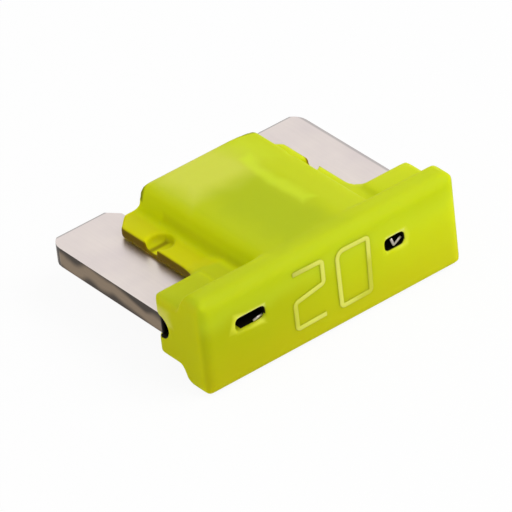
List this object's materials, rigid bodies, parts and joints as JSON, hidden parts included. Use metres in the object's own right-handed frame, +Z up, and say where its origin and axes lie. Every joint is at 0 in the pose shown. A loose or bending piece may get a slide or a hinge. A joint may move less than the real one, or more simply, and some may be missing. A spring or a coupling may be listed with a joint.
{
  "type": "automotive blade fuse",
  "caption": "Low profile blade fuse: a translucent lime housing, open below, round one stamped metal strip with flat blades and a fusible link.",
  "frame": {"origin": "on the surface the fuse lies on, under the middle of its box", "axes": "+X along the head, +Y from the head's top towards the blade tips, +Z up through the broad faces"},
  "size_m": [0.0112, 0.009, 0.0038],
  "materials": {
    "lime_polyamide": "satin, slightly translucent",
    "tinned_zinc": "satin"
  },
  "bodies": {
    "root": {"housing": "lime_polyamide", "fuse_element": "tinned_zinc"}
  },
  "joints": []
}
